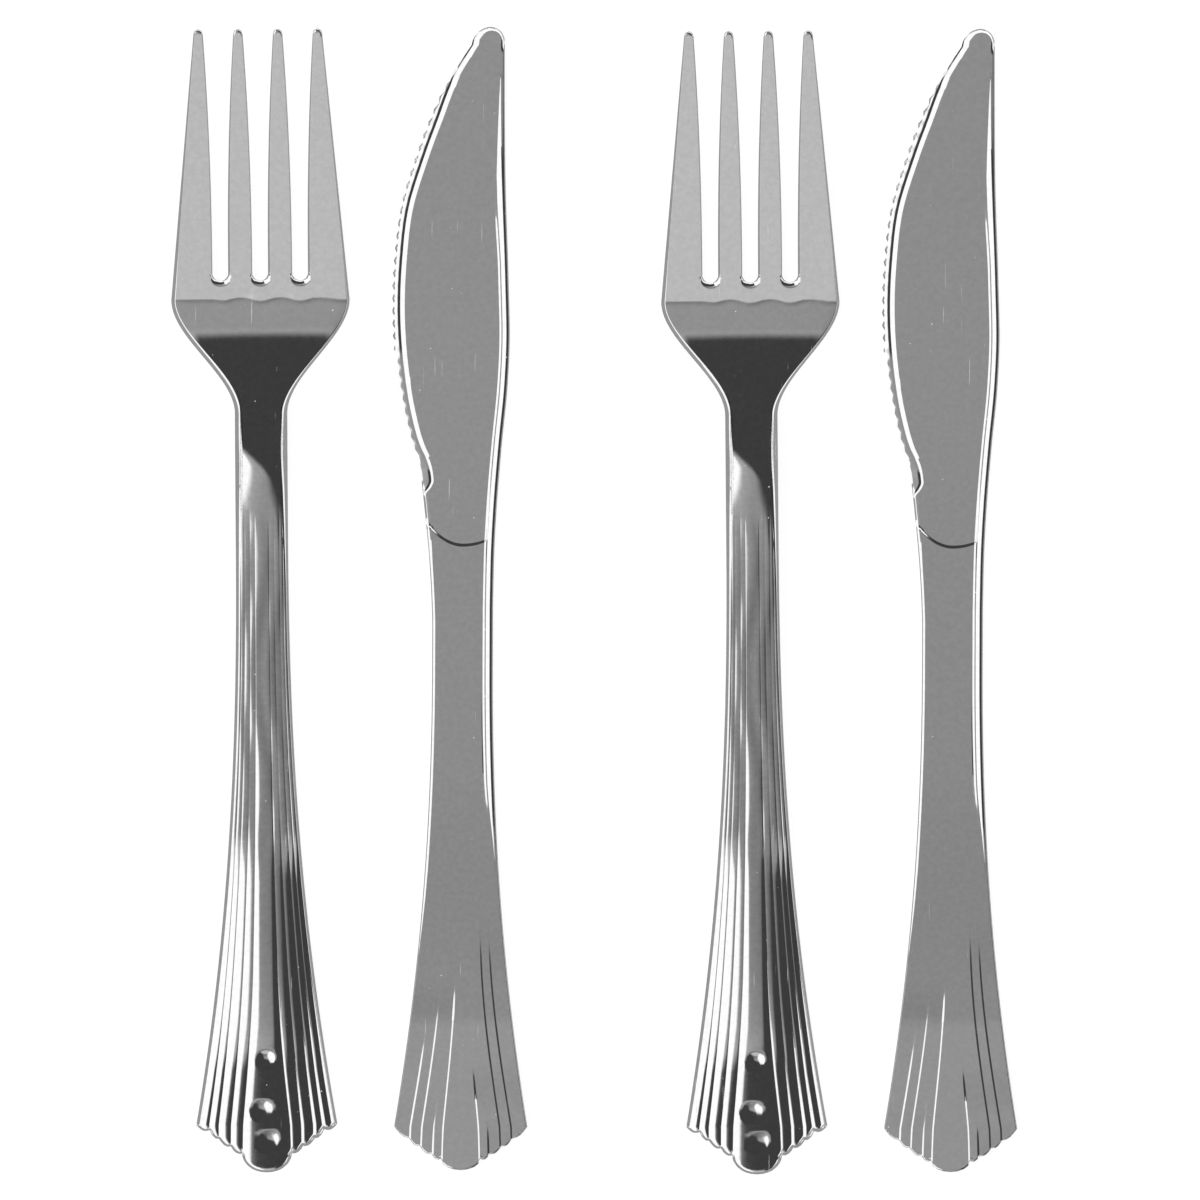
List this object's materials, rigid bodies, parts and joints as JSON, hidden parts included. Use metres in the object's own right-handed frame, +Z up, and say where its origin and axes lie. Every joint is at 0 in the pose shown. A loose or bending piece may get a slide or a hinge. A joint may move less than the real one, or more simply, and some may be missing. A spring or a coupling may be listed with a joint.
{
  "type": "plastic cutlery set",
  "caption": "Metallised plastic forks and knives with scalloped, ribbed fan handles, laid face up side by side.",
  "frame": {"origin": "under the middle of the set's bounding box, on the surface that the pieces lie on", "axes": "+Y along the pieces from the handle ends to the tips, +Z up from the surface they lie on, +X across the set from the first fork to the last knife"},
  "size_m": [0.1411, 0.1914, 0.0099],
  "materials": {
    "metallised_polystyrene": "injection-moulded polystyrene, vacuum-metallised to a bright mirror silver all over"
  },
  "bodies": {
    "root": {"fork_1": "metallised_polystyrene", "knife_1": "metallised_polystyrene", "fork_2": "metallised_polystyrene", "knife_2": "metallised_polystyrene"}
  },
  "joints": []
}
